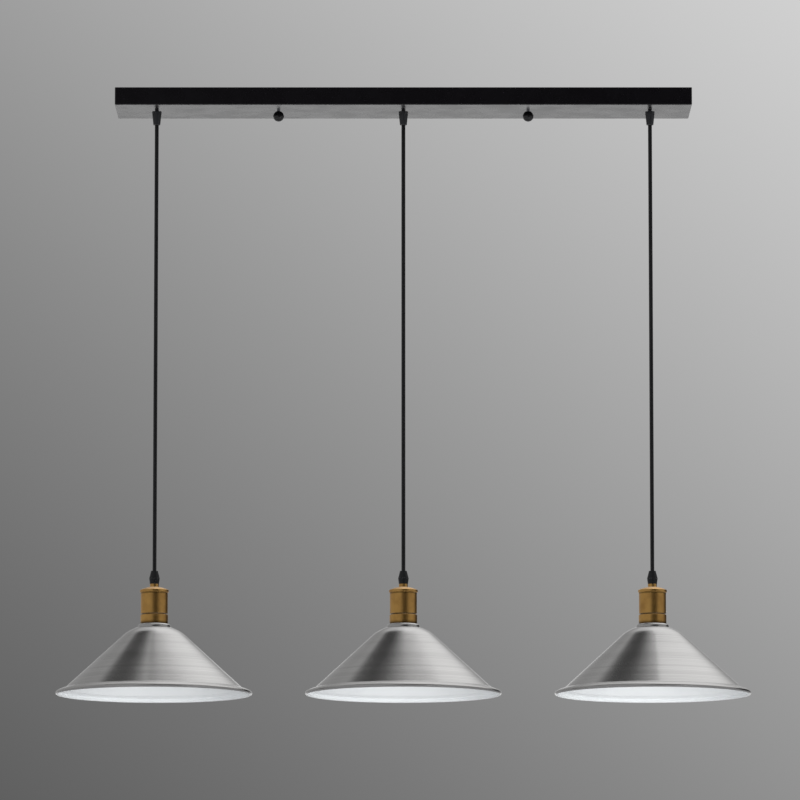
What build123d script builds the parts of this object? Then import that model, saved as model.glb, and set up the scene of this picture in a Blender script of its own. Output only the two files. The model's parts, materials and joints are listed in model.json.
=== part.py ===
from build123d import *
import os
from math import cos, radians, sin, sqrt, tan

# Linear island pendant: a flat bar canopy on the ceiling, three round cords, three brass lampholders
# and three spun conical shades. All sizes are in millimetres. The ceiling is the plane Z = 0, X runs
# along the bar, and every pendant hangs straight down, so depths are negative.

# ---------------------------------------------------------------------------- driving dimensions
# Layout
pendant_names = ("left", "middle", "right")
pendant_from_canopy_end = 54.0
stud_from_bracket_end = 18.0
visible_cord = 600.0

# Canopy tray: folded sheet steel, open towards the ceiling
canopy_length = 768.0
canopy_width = 107.0
canopy_height = 23.4
canopy_sheet = 1.2
canopy_bend = 1.4

# Ceiling bracket: flat steel with its two ends joggled down to make room for the stud heads
bracket_length = 370.0
bracket_width = 30.0
bracket_thickness = 1.5
bracket_tab_length = 34.0
bracket_joggle_run = 6.0
bracket_joggle_drop = 4.2
bracket_corner = 4.0
slot_spacing = 100.0
slot_length = 20.0
slot_width = 5.0
supply_hole_radius = 9.0
supply_hole_x = 95.0

# M4 studs that carry the canopy, with their ball-shaped cap nuts
stud_radius = 2.0
stud_head_radius = 3.6
stud_head_height = 2.4
stud_head_round = 1.0
stud_into_ball = 6.0
hex_nut_flats = 7.0
hex_nut_height = 3.2
ball_radius = 7.2
ball_collar_radius = 4.4
ball_collar_height = 0.5
ball_gap = 0.2
ball_bore_depth = 7.5

# Cord and its cores
cord_radius = 2.6
core_radius = 0.7
core_spacing = 1.5
core_circle = 1.3
core_bend = 2.0
core_fan = 4.0
sheath_past_grip = 1.5

# Clearances
tolerance = 0.01
sliding_gap = 0.1
hole_gap = 0.2
swing_gap = 0.3
turning_gap = 0.1
seat_gap = 0.2

# M10 cord grips: nipple, collar and a neck that the clamping nut screws over
nipple_radius = 5.0
grip_neck_radius = 3.9
grip_neck_length = 8.0
nipple_above_floor = 5.5
locknut_flats = 14.0
locknut_height = 2.6
pivot_depth = 2.0
flute_count = 16
flute_radius = 0.5
flute_length = 3.0

# Canopy grip, wide end at the canopy
canopy_grip_radius = 6.2
canopy_grip_collar = 2.5
canopy_grip_length = 18.0
canopy_grip_tip_radius = 4.6
swing_range = 15.0

# Holder grip, widest where its nut meets its body
holder_grip_nut_height = 10.0
holder_grip_body_height = 7.4
holder_grip_tip_radius = 4.5
holder_grip_radius = 7.0
holder_grip_foot_radius = 6.0
holder_grip_neck_length = 5.0
tilt_range = 10.0
flare_margin = 3.0

# Brass lampholder: cap, shell and threaded skirt
neck_radius = 5.9
neck_height = 4.0
cap_rise = 4.1
cap_bulge = 0.5
cap_radius = 19.1
cap_flange_height = 4.1
cap_round = 0.5
cap_wall = 1.3
cap_skirt_length = 9.6
cap_nipple_length = 3.6
shell_radius = 17.9
shell_length = 27.5
shell_wall = 1.2
shell_edge = 0.3
groove_height = 1.2
band_radius = 18.3
band_height = 12.3
band_round = 0.8
skirt_wall = 1.3
spigot_length = 8.5
sleeve_radius = 16.4
sleeve_length = 14.0

# E27 socket: porcelain core, screw shell and contacts
core_top_height = 9.0
screw_radius = 13.3
screw_wall = 0.3
screw_length = 21.5
screw_recess = 1.5
contact_chamber_radius = 10.2
contact_chamber_depth = 3.4
contact_width = 6.0
contact_thickness = 0.5
contact_drop = 2.6
contact_reach = 9.0
post_count = 3
post_circle = 8.5
post_size = 5.0
post_height = 5.5
post_foot_radius = 1.5
post_foot_length = 4.5
post_screw_radius = 1.5
post_screw_length = 1.6

# Shade: 1 mm spun sheet with a seat ring, a domed shoulder, a straight cone and a lip rolled at its edge
shade_radius = 130.0
shade_height = 94.0
shade_sheet = 1.0
seat_radius = 21.5
seat_step = 4.4
seat_round = 2.0
shoulder_radius = 38.7
shoulder_drop = 13.1
shoulder_bulge = 0.7
lip_inner_radius = 117.6
lip_height = 8.7
lip_bulge = 0.4
lip_angle = 61.0
bead_radius = 2.3

# Ring nut that holds the shade against the holder
ring_radius = 20.0
ring_height = 5.0
ring_notches = 18
ring_notch_radius = 0.9

# Terminal block on the canopy floor: three poles in a row across the canopy, wired from both sides
block_x = -62.0
block_y = 31.0
block_length = 17.0
block_base_height = 3.0
block_height = 12.0
block_pad = 0.8
pole_count = 3
pole_pitch = 9.0
pole_width = 7.4
pole_round = 0.8
wire_way_width = 3.6
wire_way_height = 6.0
wire_way_floor = 3.4
insert_length = 11.0
clamp_screw_radius = 1.6
clamp_screw_height = 2.0
clamp_screw_spacing = 6.4
clamp_slot = 0.5
wire_into_block = 2.7

# Earth post on the canopy floor, with its tag and nut
earth_x = -98.0
earth_y = 13.0
earth_post_radius = 2.0
earth_post_height = 7.0
earth_tag_radius = 4.2
earth_tag_thickness = 0.8
earth_lead_drop = 2.0

# The cords' routes from the canopy grips to the terminal block, as corners after the nipple. Each
# corner has its share of the way along X from its pendant to the block, then its Y and its height above
# the canopy's floor. The last run of each is level and along X.
tail_corners = {
    "left": (
        (0.0, 0.0, 14.8),
        (0.04, 26.0, 12.8),
        (0.23, 33.0, 8.8),
        (0.44, 29.0, 6.3),
        (0.64, 34.0, 7.8),
        (0.82, 31.0, 9.2),
        (0.90, 31.0, 9.2),
    ),
    "middle": (
        (0.0, 0.0, 14.2),
        (0.05, 25.0, 10.8),
        (0.32, 27.0, 6.8),
        (0.58, 27.0, 6.8),
    ),
    "right": (
        (0.0, 0.0, 14.8),
        (0.026, 27.0, 12.8),
        (0.16, 34.0, 9.8),
        (0.30, 30.0, 7.8),
        (0.43, 35.0, 8.8),
        (0.57, 31.0, 10.8),
        (0.71, 37.0, 11.8),
        (0.862, 37.0, 10.4),
        (0.934, 37.0, 10.4),
    ),
}
tail_bends = {
    "left": (9.0, 19.0, 90.0, 110.0, 110.0, 60.0),
    "middle": (9.0, 10.0, 16.0),
    "right": (9.0, 19.0, 90.0, 110.0, 110.0, 110.0, 110.0, 110.0),
}
tail_wire_rise = {"left": 0.0, "middle": -1.3, "right": 1.3}

# ---------------------------------------------------------------------------- derived places
pendant_pitch = canopy_length / 2 - pendant_from_canopy_end
stud_spacing = bracket_length - 2 * stud_from_bracket_end
pendant_places = {
    name: (i - (len(pendant_names) - 1) / 2) * pendant_pitch for i, name in enumerate(pendant_names)
}
canopy_underside = -canopy_height
canopy_floor = canopy_underside + canopy_sheet
canopy_grip_tip = canopy_underside - canopy_grip_length
holder_grip_tip = canopy_grip_tip - visible_cord
holder_grip_split = holder_grip_tip - holder_grip_nut_height
neck_top = holder_grip_split - holder_grip_body_height
cap_top = neck_top - neck_height
flange_top = cap_top - cap_rise
shell_top = flange_top - cap_flange_height
shell_bottom = shell_top - shell_length
band_top = shell_bottom - groove_height
shade_top = band_top - band_height
shade_rim = shade_top - shade_height
nipple_top = canopy_floor + nipple_above_floor
swing_pivot = canopy_grip_tip + pivot_depth
tilt_pivot = holder_grip_tip - pivot_depth
grip_bore = cord_radius + sliding_gap
tail_start = swing_pivot + cord_radius + swing_gap
leads_start = tilt_pivot - cord_radius - swing_gap
block_floor = canopy_floor + block_pad
wire_way_centre = block_floor + wire_way_floor + wire_way_height / 2
tail_points = {
    name: [(x + share * (block_x - x), y, canopy_floor + rise) for share, y, rise in tail_corners[name]]
    for name, x in pendant_places.items()
}

os.makedirs("parts", exist_ok=True)


def upright(x, z=0.0):
    """The plane that a turned piece's half profile is drawn on: its X is the radius, its Y is up."""
    return Plane(origin=(x, 0, z), x_dir=(1, 0, 0), z_dir=(0, -1, 0))


def turning_axis(x, y=0.0):
    """The vertical axis that a turned piece is revolved about."""
    return Axis((x, y, 0), (0, 0, 1))


def rings_of(builder, radius):
    """The round edges of one radius on the piece that is being built."""
    rings = builder.edges().filter_by(GeomType.CIRCLE)
    return rings.filter_by(lambda ring: abs(ring.radius - radius) < tolerance)


def flared_mouth(angle, gap_radius):
    """A flared mouth's radius at its pivot, and how far from there it narrows to the cord's bore."""
    at_pivot = gap_radius / cos(radians(angle))
    return at_pivot, (at_pivot - grip_bore) / tan(radians(angle))


# ---------------------------------------------------------------------------- canopy
def make_canopy_tray():
    """Folded tray with three grip holes and two stud holes in its floor."""
    with BuildPart() as canopy_tray:
        with BuildSketch(Plane.XY.offset(canopy_underside)):
            Rectangle(canopy_length, canopy_width)
        extrude(amount=canopy_height)
        fillet(canopy_tray.edges().filter_by(Axis.Z), canopy_bend)
        fillet(canopy_tray.edges().group_by(Axis.Z)[0], canopy_bend)
        offset(amount=-canopy_sheet, openings=canopy_tray.faces().sort_by(Axis.Z)[-1])
        with BuildSketch(Plane.XY.offset(canopy_underside)):
            with Locations(*[(x, 0) for x in pendant_places.values()]):
                Circle(nipple_radius + hole_gap)
            with GridLocations(stud_spacing, 0, 2, 1):
                Circle(stud_radius + hole_gap)
        extrude(amount=canopy_sheet, mode=Mode.SUBTRACT)
    canopy_tray.part.label = "canopy_tray"
    export_step(canopy_tray.part, "parts/canopy_tray.step")


def make_ceiling_bracket():
    """Joggled mounting strip with two ceiling slots and a supply hole."""
    half = bracket_length / 2
    joggle_end = half - bracket_tab_length
    joggle_start = joggle_end - bracket_joggle_run
    lean = bracket_thickness * bracket_joggle_drop / (
        bracket_joggle_run + sqrt(bracket_joggle_run**2 + bracket_joggle_drop**2)
    )
    with BuildPart() as ceiling_bracket:
        with BuildSketch(Plane.XZ):
            with BuildLine():
                Polyline(
                    (0, 0),
                    (joggle_start, 0),
                    (joggle_end, -bracket_joggle_drop),
                    (half, -bracket_joggle_drop),
                    (half, -bracket_joggle_drop - bracket_thickness),
                    (joggle_end - lean, -bracket_joggle_drop - bracket_thickness),
                    (joggle_start - lean, -bracket_thickness),
                    (0, -bracket_thickness),
                    close=True,
                )
            make_face()
            mirror(about=Plane.YZ)
        extrude(amount=bracket_width / 2, both=True)
        end_faces = ceiling_bracket.faces().filter_by(Axis.X)
        fillet(end_faces.edges().filter_by(Axis.Z), bracket_corner)
        with BuildSketch():
            with GridLocations(slot_spacing, 0, 2, 1):
                SlotOverall(slot_length, slot_width)
            with Locations((supply_hole_x, 0)):
                Circle(supply_hole_radius)
            with GridLocations(stud_spacing, 0, 2, 1):
                Circle(stud_radius + hole_gap)
        extrude(amount=-bracket_joggle_drop - 2 * bracket_thickness, mode=Mode.SUBTRACT)
    ceiling_bracket.part.label = "ceiling_bracket"
    export_step(ceiling_bracket.part, "parts/ceiling_bracket.step")


def make_bracket_studs():
    """Two pan-head studs that hang from the bracket's tabs through the canopy floor."""
    head_seat = -bracket_joggle_drop
    stud_end = canopy_underside - ball_gap - stud_into_ball
    with BuildPart() as bracket_studs:
        with BuildSketch(Plane.XY.offset(head_seat)):
            with GridLocations(stud_spacing, 0, 2, 1):
                Circle(stud_head_radius)
        extrude(amount=stud_head_height)
        fillet(bracket_studs.edges().group_by(Axis.Z)[-1], stud_head_round)
        with BuildSketch(Plane.XY.offset(stud_end)):
            with GridLocations(stud_spacing, 0, 2, 1):
                Circle(stud_radius)
        extrude(amount=head_seat - stud_end)
    bracket_studs.part.label = "bracket_studs"
    export_step(bracket_studs.part, "parts/bracket_studs.step")


def make_stud_locknuts():
    """Two hexagon nuts that lock the studs under the bracket's tabs."""
    tab_underside = -bracket_joggle_drop - bracket_thickness
    with BuildPart() as stud_locknuts:
        with BuildSketch(Plane.XY.offset(tab_underside)):
            with GridLocations(stud_spacing, 0, 2, 1):
                RegularPolygon(hex_nut_flats / 2, 6, major_radius=False)
                Circle(stud_radius + sliding_gap / 2, mode=Mode.SUBTRACT)
        extrude(amount=-hex_nut_height)
    stud_locknuts.part.label = "stud_locknuts"
    export_step(stud_locknuts.part, "parts/stud_locknuts.step")


def make_ball_nut(name, x):
    """Ball-shaped cap nut with a short collar and a blind bore for its stud."""
    collar_top = canopy_underside - ball_gap
    collar_bottom = collar_top - ball_collar_height
    ball_centre = collar_bottom - sqrt(ball_radius**2 - ball_collar_radius**2)
    with BuildPart() as ball_nut:
        with BuildSketch(upright(x)):
            with BuildLine():
                Line((0, collar_top), (ball_collar_radius, collar_top))
                Line((ball_collar_radius, collar_top), (ball_collar_radius, collar_bottom))
                ThreePointArc(
                    (ball_collar_radius, collar_bottom),
                    (ball_radius, ball_centre),
                    (0, ball_centre - ball_radius),
                )
                Line((0, ball_centre - ball_radius), (0, collar_top))
            make_face()
        revolve(axis=turning_axis(x))
        with BuildSketch(Plane.XY.offset(collar_top)):
            with Locations((x, 0)):
                Circle(stud_radius + turning_gap / 2)
        extrude(amount=-ball_bore_depth, mode=Mode.SUBTRACT)
    ball_nut.part.label = f"ball_nut_{name}"
    export_step(ball_nut.part, f"parts/ball_nut_{name}.step")


def make_grip_locknuts():
    """Three hexagon nuts that clamp the canopy grips to the canopy floor."""
    with BuildPart() as grip_locknuts:
        with BuildSketch(Plane.XY.offset(canopy_floor)):
            with Locations(*[(x, 0) for x in pendant_places.values()]):
                RegularPolygon(locknut_flats / 2, 6, major_radius=False)
                Circle(nipple_radius + sliding_gap / 2, mode=Mode.SUBTRACT)
        extrude(amount=locknut_height)
    grip_locknuts.part.label = "grip_locknuts"
    export_step(grip_locknuts.part, "parts/grip_locknuts.step")


# ---------------------------------------------------------------------------- cord grips
def make_canopy_grip_body(name, x):
    """Nipple through the canopy floor, collar below it and the neck that takes the clamping nut."""
    collar_bottom = canopy_underside - canopy_grip_collar
    with BuildPart() as grip_body:
        with BuildSketch(upright(x)):
            with BuildLine():
                Polyline(
                    (grip_bore, nipple_top),
                    (nipple_radius, nipple_top),
                    (nipple_radius, canopy_underside),
                    (canopy_grip_radius, canopy_underside),
                    (canopy_grip_radius, collar_bottom),
                    (grip_neck_radius, collar_bottom),
                    (grip_neck_radius, collar_bottom - grip_neck_length),
                    (grip_bore, collar_bottom - grip_neck_length),
                    close=True,
                )
            make_face()
        revolve(axis=turning_axis(x))
    grip_body.part.label = f"canopy_grip_body_{name}"
    export_step(grip_body.part, f"parts/canopy_grip_body_{name}.step")


def make_canopy_grip_nut(name, x):
    """Tapered clamping nut, fluted for the fingers, whose flared mouth lets the cord swing."""
    top = canopy_underside - canopy_grip_collar - sliding_gap
    neck_end = canopy_underside - canopy_grip_collar - grip_neck_length - sliding_gap
    angle = swing_range + flare_margin
    at_pivot, narrowing = flared_mouth(angle, cord_radius + swing_gap)
    with BuildPart() as grip_nut:
        with BuildSketch(upright(x)):
            with BuildLine():
                Polyline(
                    (grip_neck_radius + sliding_gap, top),
                    (canopy_grip_radius, top),
                    (canopy_grip_tip_radius, canopy_grip_tip),
                    (at_pivot + pivot_depth * tan(radians(angle)), canopy_grip_tip),
                    (grip_bore, swing_pivot + narrowing),
                    (grip_bore, neck_end),
                    (grip_neck_radius + sliding_gap, neck_end),
                    close=True,
                )
            make_face()
        revolve(axis=turning_axis(x))
        with BuildSketch(Plane.XY.offset(top)):
            with Locations((x, 0)):
                with PolarLocations(canopy_grip_radius, flute_count):
                    Circle(flute_radius)
        extrude(amount=-flute_length, mode=Mode.SUBTRACT)
    grip_nut.part.label = f"canopy_grip_nut_{name}"
    export_step(grip_nut.part, f"parts/canopy_grip_nut_{name}.step")


def make_holder_grip_nut(name, x):
    """Tapered clamping nut on the holder's grip, fluted for the fingers, its flared mouth facing up."""
    bottom = holder_grip_split + sliding_gap
    neck_end = bottom + holder_grip_neck_length
    angle = tilt_range + flare_margin
    at_pivot, narrowing = flared_mouth(angle, cord_radius + swing_gap)
    with BuildPart() as grip_nut:
        with BuildSketch(upright(x)):
            with BuildLine():
                Polyline(
                    (grip_neck_radius + sliding_gap, bottom),
                    (holder_grip_radius, bottom),
                    (holder_grip_tip_radius, holder_grip_tip),
                    (at_pivot + pivot_depth * tan(radians(angle)), holder_grip_tip),
                    (grip_bore, tilt_pivot - narrowing),
                    (grip_bore, neck_end),
                    (grip_neck_radius + sliding_gap, neck_end),
                    close=True,
                )
            make_face()
        revolve(axis=turning_axis(x))
        with BuildSketch(Plane.XY.offset(bottom)):
            with Locations((x, 0)):
                with PolarLocations(holder_grip_radius, flute_count):
                    Circle(flute_radius)
        extrude(amount=flute_length, mode=Mode.SUBTRACT)
    grip_nut.part.label = f"holder_grip_nut_{name}"
    export_step(grip_nut.part, f"parts/holder_grip_nut_{name}.step")


def make_holder_grip_body(name, x):
    """Grip body with a neck for its nut and a nipple that screws into the holder's cap."""
    nipple_end = neck_top - neck_height - cap_nipple_length
    with BuildPart() as grip_body:
        with BuildSketch(upright(x)):
            with BuildLine():
                Polyline(
                    (grip_bore, holder_grip_split + holder_grip_neck_length),
                    (grip_neck_radius, holder_grip_split + holder_grip_neck_length),
                    (grip_neck_radius, holder_grip_split),
                    (holder_grip_radius, holder_grip_split),
                    (holder_grip_foot_radius, neck_top),
                    (nipple_radius, neck_top),
                    (nipple_radius, nipple_end),
                    (grip_bore, nipple_end),
                    close=True,
                )
            make_face()
        revolve(axis=turning_axis(x))
    grip_body.part.label = f"holder_grip_body_{name}"
    export_step(grip_body.part, f"parts/holder_grip_body_{name}.step")


# ---------------------------------------------------------------------------- cords
def make_cord(name, x):
    """The hanging cord between the two grips, with a rounded end at each pivot."""
    with BuildPart() as cord:
        with BuildSketch(upright(x)):
            with BuildLine():
                Line((0, swing_pivot + cord_radius), (0, tilt_pivot - cord_radius))
                RadiusArc((0, tilt_pivot - cord_radius), (cord_radius, tilt_pivot), -cord_radius)
                Line((cord_radius, tilt_pivot), (cord_radius, swing_pivot))
                RadiusArc((cord_radius, swing_pivot), (0, swing_pivot + cord_radius), -cord_radius)
            make_face()
        revolve(axis=turning_axis(x))
    cord.part.label = f"cord_{name}"
    export_step(cord.part, f"parts/cord_{name}.step")


# ---------------------------------------------------------------------------- lampholder
def make_holder_cap(name, x):
    """Domed brass cap: threaded neck, flange over the shell and a skirt inside it."""
    bore = nipple_radius + sliding_gap / 2
    skirt_radius = shell_radius - shell_wall - sliding_gap
    flange_waist = shell_top + cap_flange_height / 3
    inner_radius = skirt_radius - cap_wall
    skirt_bottom = shell_top - cap_skirt_length
    with BuildPart() as holder_cap:
        with BuildSketch(upright(x)):
            with BuildLine():
                Line((bore, neck_top), (neck_radius, neck_top))
                Line((neck_radius, neck_top), (neck_radius, cap_top))
                SagittaArc((neck_radius, cap_top), (cap_radius, flange_top), cap_bulge)
                Line((cap_radius, flange_top), (cap_radius, flange_waist))
                Line((cap_radius, flange_waist), (shell_radius, shell_top))
                Line((shell_radius, shell_top), (skirt_radius, shell_top))
                Line((skirt_radius, shell_top), (skirt_radius, skirt_bottom))
                Line((skirt_radius, skirt_bottom), (inner_radius, skirt_bottom))
                Line((inner_radius, skirt_bottom), (inner_radius, flange_top - cap_wall))
                SagittaArc(
                    (inner_radius, flange_top - cap_wall), (neck_radius, cap_top - cap_wall), -cap_bulge
                )
                Line((neck_radius, cap_top - cap_wall), (bore, cap_top - cap_wall))
                Line((bore, cap_top - cap_wall), (bore, neck_top))
            make_face()
        revolve(axis=turning_axis(x))
        fillet(rings_of(holder_cap, cap_radius), cap_round)
    holder_cap.part.label = f"holder_cap_{name}"
    export_step(holder_cap.part, f"parts/holder_cap_{name}.step")


def make_holder_shell(name, x):
    """Plain brass tube between the cap and the band."""
    with BuildPart() as holder_shell:
        with BuildSketch(Plane.XY.offset(shell_bottom)):
            with Locations((x, 0)):
                Circle(shell_radius)
                Circle(shell_radius - shell_wall, mode=Mode.SUBTRACT)
        extrude(amount=shell_length)
        chamfer(rings_of(holder_shell, shell_radius).group_by(Axis.Z)[0], shell_edge)
    holder_shell.part.label = f"holder_shell_{name}"
    export_step(holder_shell.part, f"parts/holder_shell_{name}.step")


def make_holder_skirt(name, x):
    """Brass band with a spigot up into the shell and a threaded sleeve down through the shade."""
    spigot_radius = shell_radius - shell_wall - sliding_gap
    inner_radius = sleeve_radius - skirt_wall
    with BuildPart() as holder_skirt:
        with BuildSketch(upright(x)):
            with BuildLine():
                Polyline(
                    (inner_radius, shell_bottom + spigot_length),
                    (spigot_radius, shell_bottom + spigot_length),
                    (spigot_radius, band_top),
                    (band_radius, band_top),
                    (band_radius, shade_top),
                    (sleeve_radius, shade_top),
                    (sleeve_radius, shade_top - sleeve_length),
                    (inner_radius, shade_top - sleeve_length),
                    close=True,
                )
            make_face()
        revolve(axis=turning_axis(x))
        fillet(rings_of(holder_skirt, band_radius), band_round)
    holder_skirt.part.label = f"holder_skirt_{name}"
    export_step(holder_skirt.part, f"parts/holder_skirt_{name}.step")


# ---------------------------------------------------------------------------- socket
core_shoulder = shell_bottom + spigot_length
core_top = core_shoulder + core_top_height
core_bottom = shade_top - sleeve_length + screw_recess
screw_top = core_bottom + screw_length
chamber_top = screw_top + contact_chamber_depth
post_top = core_top + post_height


def make_socket_core(name, x):
    """Porcelain core that sits on the skirt's spigot and carries the screw shell."""
    flange_radius = shell_radius - shell_wall - sliding_gap
    body_radius = sleeve_radius - skirt_wall - sliding_gap
    bore_radius = screw_radius + screw_wall
    with BuildPart() as socket_core:
        with BuildSketch(upright(x)):
            with BuildLine():
                Polyline(
                    (0, core_top),
                    (flange_radius, core_top),
                    (flange_radius, core_shoulder),
                    (body_radius, core_shoulder),
                    (body_radius, core_bottom),
                    (bore_radius, core_bottom),
                    (bore_radius, screw_top),
                    (contact_chamber_radius, screw_top),
                    (contact_chamber_radius, chamber_top),
                    (0, chamber_top),
                    close=True,
                )
            make_face()
        revolve(axis=turning_axis(x))
        with BuildSketch(Plane.XY.offset(core_top)):
            with Locations((x, 0)):
                with PolarLocations(post_circle, post_count):
                    Circle(post_foot_radius)
        extrude(amount=-post_foot_length, mode=Mode.SUBTRACT)
    socket_core.part.label = f"socket_core_{name}"
    export_step(socket_core.part, f"parts/socket_core_{name}.step")


def make_screw_shell(name, x):
    """Thin brass shell of the lamp socket, its thread left plain."""
    with BuildPart() as screw_shell:
        with BuildSketch(Plane.XY.offset(core_bottom)):
            with Locations((x, 0)):
                Circle(screw_radius + screw_wall)
                Circle(screw_radius, mode=Mode.SUBTRACT)
        extrude(amount=screw_length)
    screw_shell.part.label = f"screw_shell_{name}"
    export_step(screw_shell.part, f"parts/screw_shell_{name}.step")


def make_socket_contacts(name, x):
    """Sprung centre contact in its chamber, and three terminal posts with clamp screws on the core."""
    leaf_root = contact_reach / 3
    leaf_tip = contact_reach / 2
    plate_underside = chamber_top - contact_thickness
    with BuildPart() as socket_contacts:
        with BuildSketch(upright(x)):
            with BuildLine():
                Polyline(
                    (-contact_reach, chamber_top),
                    (contact_reach, chamber_top),
                    (contact_reach, plate_underside),
                    (contact_thickness - leaf_root, plate_underside),
                    (leaf_tip, chamber_top - contact_drop),
                    (leaf_tip - contact_thickness, plate_underside - contact_drop),
                    (-contact_thickness - leaf_root, plate_underside),
                    (-contact_reach, plate_underside),
                    close=True,
                )
            make_face()
        extrude(amount=contact_width / 2, both=True)
        with BuildSketch(Plane.XY.offset(core_top)):
            with Locations((x, 0)):
                with PolarLocations(post_circle, post_count):
                    Rectangle(post_size, post_size)
        extrude(amount=post_height)
        with BuildSketch(Plane.XY.offset(core_top)):
            with Locations((x, 0)):
                with PolarLocations(post_circle, post_count):
                    Circle(post_foot_radius)
        extrude(amount=-post_foot_length)
        for i in range(post_count):
            outward = Vector(1, 0, 0).rotate(Axis.Z, i * 360 / post_count)
            screw_seat = Vector(x, 0, core_top + post_height / 2) + outward * (post_circle + post_size / 2)
            with BuildSketch(Plane(screw_seat, z_dir=outward)):
                Circle(post_screw_radius)
            extrude(amount=post_screw_length)
    socket_contacts.part.label = f"socket_contacts_{name}"
    export_step(socket_contacts.part, f"parts/socket_contacts_{name}.step")


def make_holder_leads(name, x):
    """The cord's end inside the holder: its sheath down through the grip, then one core to each post."""
    sheath_end = cap_top - cap_nipple_length - sheath_past_grip
    with BuildPart() as holder_leads:
        with BuildSketch(Plane.XY.offset(leads_start)):
            with Locations((x, 0)):
                Circle(cord_radius)
        extrude(amount=sheath_end - leads_start)
        for i in range(post_count):
            outward = Vector(1, 0, 0).rotate(Axis.Z, i * 360 / post_count)
            start = Vector(x, 0, sheath_end) + outward * core_circle
            end = Vector(x, 0, post_top) + outward * post_circle
            middle = (start.Z + end.Z) / 2
            with BuildLine():
                core_route = FilletPolyline(
                    start, (start.X, start.Y, middle), (end.X, end.Y, middle), end, radius=core_bend
                )
            with BuildSketch(Plane(start, z_dir=(0, 0, -1))):
                Circle(core_radius)
            sweep(path=core_route)
    holder_leads.part.label = f"holder_leads_{name}"
    export_step(holder_leads.part, f"parts/holder_leads_{name}.step")


# ---------------------------------------------------------------------------- shade
def make_shade(name, x):
    """Spun shade: seat ring, domed shoulder, straight cone, and a lip that ends in a rolled bead."""
    hole_radius = sleeve_radius + swing_gap
    bead_centre = (shade_radius - bead_radius, bead_radius)
    lip_end = (
        bead_centre[0] + bead_radius * cos(radians(lip_angle)),
        bead_centre[1] + bead_radius * sin(radians(lip_angle)),
    )
    with BuildPart() as shade:
        with BuildSketch(upright(x, shade_rim)):
            with BuildLine():
                with BuildLine(mode=Mode.PRIVATE) as outside:
                    FilletPolyline(
                        (hole_radius, shade_height),
                        (seat_radius, shade_height),
                        (seat_radius, shade_height - seat_step),
                        radius=seat_round,
                    )
                    SagittaArc(
                        (seat_radius, shade_height - seat_step),
                        (shoulder_radius, shade_height - shoulder_drop),
                        -shoulder_bulge,
                    )
                    Line((shoulder_radius, shade_height - shoulder_drop), (lip_inner_radius, lip_height))
                    SagittaArc((lip_inner_radius, lip_height), lip_end, -lip_bulge)
                offset(outside.line, amount=shade_sheet, side=Side.RIGHT)
            make_face()
            with Locations(bead_centre):
                Circle(bead_radius)
        revolve(axis=turning_axis(x))
    shade.part.label = f"shade_{name}"
    export_step(shade.part, f"parts/shade_{name}.step")


def make_shade_ring(name, x):
    """Ring nut on the threaded sleeve under the shade, notched for the fingers."""
    top = shade_top - shade_sheet - seat_gap
    with BuildPart() as shade_ring:
        with BuildSketch(Plane.XY.offset(top)):
            with Locations((x, 0)):
                Circle(ring_radius)
                Circle(sleeve_radius + turning_gap, mode=Mode.SUBTRACT)
                with PolarLocations(ring_radius, ring_notches):
                    Circle(ring_notch_radius, mode=Mode.SUBTRACT)
        extrude(amount=-ring_height)
    shade_ring.part.label = f"shade_ring_{name}"
    export_step(shade_ring.part, f"parts/shade_ring_{name}.step")


# ---------------------------------------------------------------------------- wiring in the canopy
def make_cord_tail(name, x):
    """The cord inside the canopy, from its grip to where its sheath ends at the terminal block."""
    with BuildPart() as cord_tail:
        with BuildLine():
            route = FilletPolyline((x, 0, tail_start), *tail_points[name], radius=tail_bends[name])
        with BuildSketch(Plane(route @ 0, z_dir=route % 0)) as section:
            Circle(cord_radius)
        sweep(path=route)
    swept = section.sketch.area * route.length
    print("tail", name, "length", round(route.length, 1), "volume ratio", cord_tail.part.volume / swept)
    cord_tail.part.label = f"cord_tail_{name}"
    export_step(cord_tail.part, f"parts/cord_tail_{name}.step")


def make_tail_cores():
    """Each tail's three bared cores, fanned out to the three poles."""
    with BuildPart() as tail_cores:
        for name in pendant_names:
            sheath = Vector(*tail_points[name][-1])
            towards = 1 if sheath.X < block_x else -1
            face_x = block_x - towards * block_length / 2
            fan = core_fan * towards
            for i in range(pole_count):
                step = i - (pole_count - 1) / 2
                start = sheath + Vector(0, step * core_spacing, 0)
                way = Vector(face_x, block_y + step * pole_pitch, wire_way_centre + tail_wire_rise[name])
                with BuildLine():
                    core_route = FilletPolyline(
                        start,
                        start + Vector(fan, 0, 0),
                        way - Vector(fan, 0, 0),
                        way + Vector(towards * wire_into_block, 0, 0),
                        radius=core_bend,
                    )
                with BuildSketch(Plane(start, z_dir=(towards, 0, 0))):
                    Circle(core_radius)
                sweep(path=core_route)
    tail_cores.part.label = "tail_cores"
    export_step(tail_cores.part, "parts/tail_cores.step")


def across_block(length):
    """The plane that starts a stretch along the block's wire ways: its X runs across the canopy."""
    start = (block_x - length / 2, block_y, wire_way_centre)
    return Plane(origin=start, x_dir=(0, 1, 0), z_dir=(1, 0, 0))


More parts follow.
